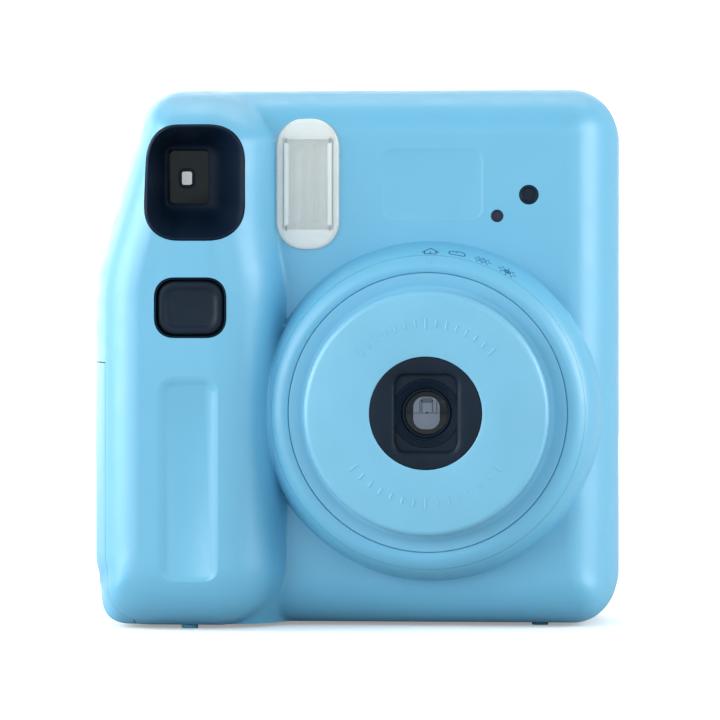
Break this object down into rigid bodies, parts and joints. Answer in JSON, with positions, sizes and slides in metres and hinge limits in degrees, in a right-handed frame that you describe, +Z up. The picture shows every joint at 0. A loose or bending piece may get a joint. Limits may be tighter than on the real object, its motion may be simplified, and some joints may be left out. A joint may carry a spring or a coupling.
{
  "type": "instant film camera",
  "caption": "Boxy instant film camera with a side grip, large pull-out lens ring, exposure dial, viewfinder, flash, shutter button, battery door and a hinged film door.",
  "frame": {"origin": "under the middle of the camera, where its feet meet the table", "axes": "+Z up, the lens looks along -Y, +X to the right in a front view"},
  "size_m": [0.1158, 0.068, 0.1183],
  "materials": {
    "blue_plastic": "satin moulded",
    "black_plastic": "fine matt",
    "blackened_metal": "matt black",
    "lens_glass": "polished",
    "clear_plastic": "clear moulded",
    "sensor_glass": "polished",
    "bright_metal": "polished",
    "steel": "bright",
    "white_plastic": "plain",
    "circuit_board": "lacquered",
    "capacitor_sleeve": "shrunk film",
    "switch_plastic": "plain",
    "battery_sleeve": "printed film",
    "foot_rubber": "matt"
  },
  "bodies": {
    "camera_body": {"front_cover": "blue_plastic", "rear_cover": "blue_plastic", "viewfinder_hood": "black_plastic", "viewfinder_tunnel": "black_plastic", "eyepiece_frame": "black_plastic", "button_bezel": "black_plastic", "lens_guide": "black_plastic", "dark_box": "black_plastic", "film_chamber": "black_plastic", "film_pack": "black_plastic", "eject_slot_frame": "black_plastic", "battery_holder": "black_plastic", "viewfinder_objective": "lens_glass", "eyepiece_lens": "lens_glass", "flash_tube": "lens_glass", "flash_window": "clear_plastic", "counter_window": "clear_plastic", "exposure_sensor_window": "sensor_glass", "flash_sensor_window": "sensor_glass", "flash_reflector": "bright_metal", "roller_frame": "steel", "door_hinge_pin": "steel", "strap_bar": "steel", "case_screws": "steel", "button_spring": "steel", "battery_contacts": "steel", "drive_motor": "steel", "main_board": "circuit_board", "sensor_board": "circuit_board", "switch_board": "circuit_board", "flash_capacitor": "capacitor_sleeve", "shutter_switch": "switch_plastic", "battery_cells": "battery_sleeve", "feet": "foot_rubber"},
    "film_door": {"film_door": "blue_plastic", "film_window": "clear_plastic", "pressure_pads": "black_plastic"},
    "door_latch": {"door_latch": "black_plastic"},
    "battery_door": {"battery_door": "blue_plastic"},
    "exposure_dial": {"exposure_dial": "blue_plastic"},
    "lens_barrel": {"lens_barrel": "black_plastic", "lens_front_plate": "blue_plastic", "lens_bezel": "black_plastic", "lens_retaining_ring": "black_plastic", "lens_housing": "black_plastic", "front_lens": "lens_glass", "aperture_plate": "blackened_metal", "shutter_plate": "black_plastic", "rear_lens": "lens_glass"},
    "shutter_blade": {"shutter_blade": "blackened_metal"},
    "shutter_button": {"shutter_button": "black_plastic"},
    "front_roller": {"front_roller": "steel", "front_roller_gear": "white_plastic", "roller_drive_gear": "white_plastic"},
    "rear_roller": {"rear_roller": "steel", "rear_roller_gear": "white_plastic"},
    "idler_gear": {"idler_gear": "white_plastic"},
    "motor_pinion": {"motor_pinion": "white_plastic"},
    "film_claw": {"film_claw": "black_plastic"},
    "counter_disc": {"counter_disc": "white_plastic"}
  },
  "joints": [
    {"name": "lens_slide", "type": "slide", "parent": "camera_body", "child": "lens_barrel", "axis": [0, -1, 0], "range_m": [0, 0.02]},
    {"name": "dial_turn", "type": "hinge", "parent": "camera_body", "child": "exposure_dial", "pos_m": [0.0176, 0, 0.0474], "axis": [0, 1, 0], "range_deg": [0, 28.5]},
    {"name": "shutter_press", "type": "slide", "parent": "camera_body", "child": "shutter_button", "axis": [0, 1, 0], "range_m": [0, 0.0015], "stiffness_N_per_m": 900, "deforming": ["button_spring"]},
    {"name": "shutter_swing", "type": "hinge", "parent": "lens_barrel", "child": "shutter_blade", "pos_m": [0.0261, -0.02415, 0.0474], "axis": [0, 1, 0], "range_deg": [0, 40], "stiffness_Nm_per_rad": 0.0005},
    {"name": "film_door_hinge", "type": "hinge", "parent": "camera_body", "child": "film_door", "pos_m": [-0.0209, 0.0318, 0], "axis": [0, 0, 1], "range_deg": [0, 100]},
    {"name": "latch_slide", "type": "slide", "parent": "film_door", "child": "door_latch", "axis": [-1, 0, 0], "range_m": [0, 0.0025], "stiffness_N_per_m": 300},
    {"name": "battery_door_hinge", "type": "hinge", "parent": "camera_body", "child": "battery_door", "pos_m": [-0.0579, 0.005, 0], "axis": [0, 0, -1], "range_deg": [0, 95]},
    {"name": "front_roller_turn", "type": "hinge", "parent": "camera_body", "child": "front_roller", "pos_m": [0, 0.01505, 0.107], "axis": [1, 0, 0], "continuous": true},
    {"name": "rear_roller_turn", "type": "hinge", "parent": "camera_body", "child": "rear_roller", "pos_m": [0, 0.02125, 0.107], "axis": [1, 0, 0], "continuous": true},
    {"name": "idler_turn", "type": "hinge", "parent": "camera_body", "child": "idler_gear", "pos_m": [0, 0.00699, 0.10197], "axis": [1, 0, 0], "continuous": true},
    {"name": "pinion_turn", "type": "hinge", "parent": "camera_body", "child": "motor_pinion", "pos_m": [0, 0.00699, 0.09397], "axis": [1, 0, 0], "continuous": true},
    {"name": "claw_slide", "type": "slide", "parent": "camera_body", "child": "film_claw", "axis": [0, 0, 1], "range_m": [0, 0.008]},
    {"name": "counter_turn", "type": "hinge", "parent": "camera_body", "child": "counter_disc", "pos_m": [-0.036, 0.0295, 0.03], "axis": [0, 1, 0], "range_deg": [0, 330]}
  ],
  "couplings": [
    {"joint": "rear_roller_turn", "follows": "front_roller_turn", "ratio": -1},
    {"joint": "idler_turn", "follows": "front_roller_turn", "ratio": -0.72727},
    {"joint": "pinion_turn", "follows": "front_roller_turn", "ratio": 1.6}
  ]
}
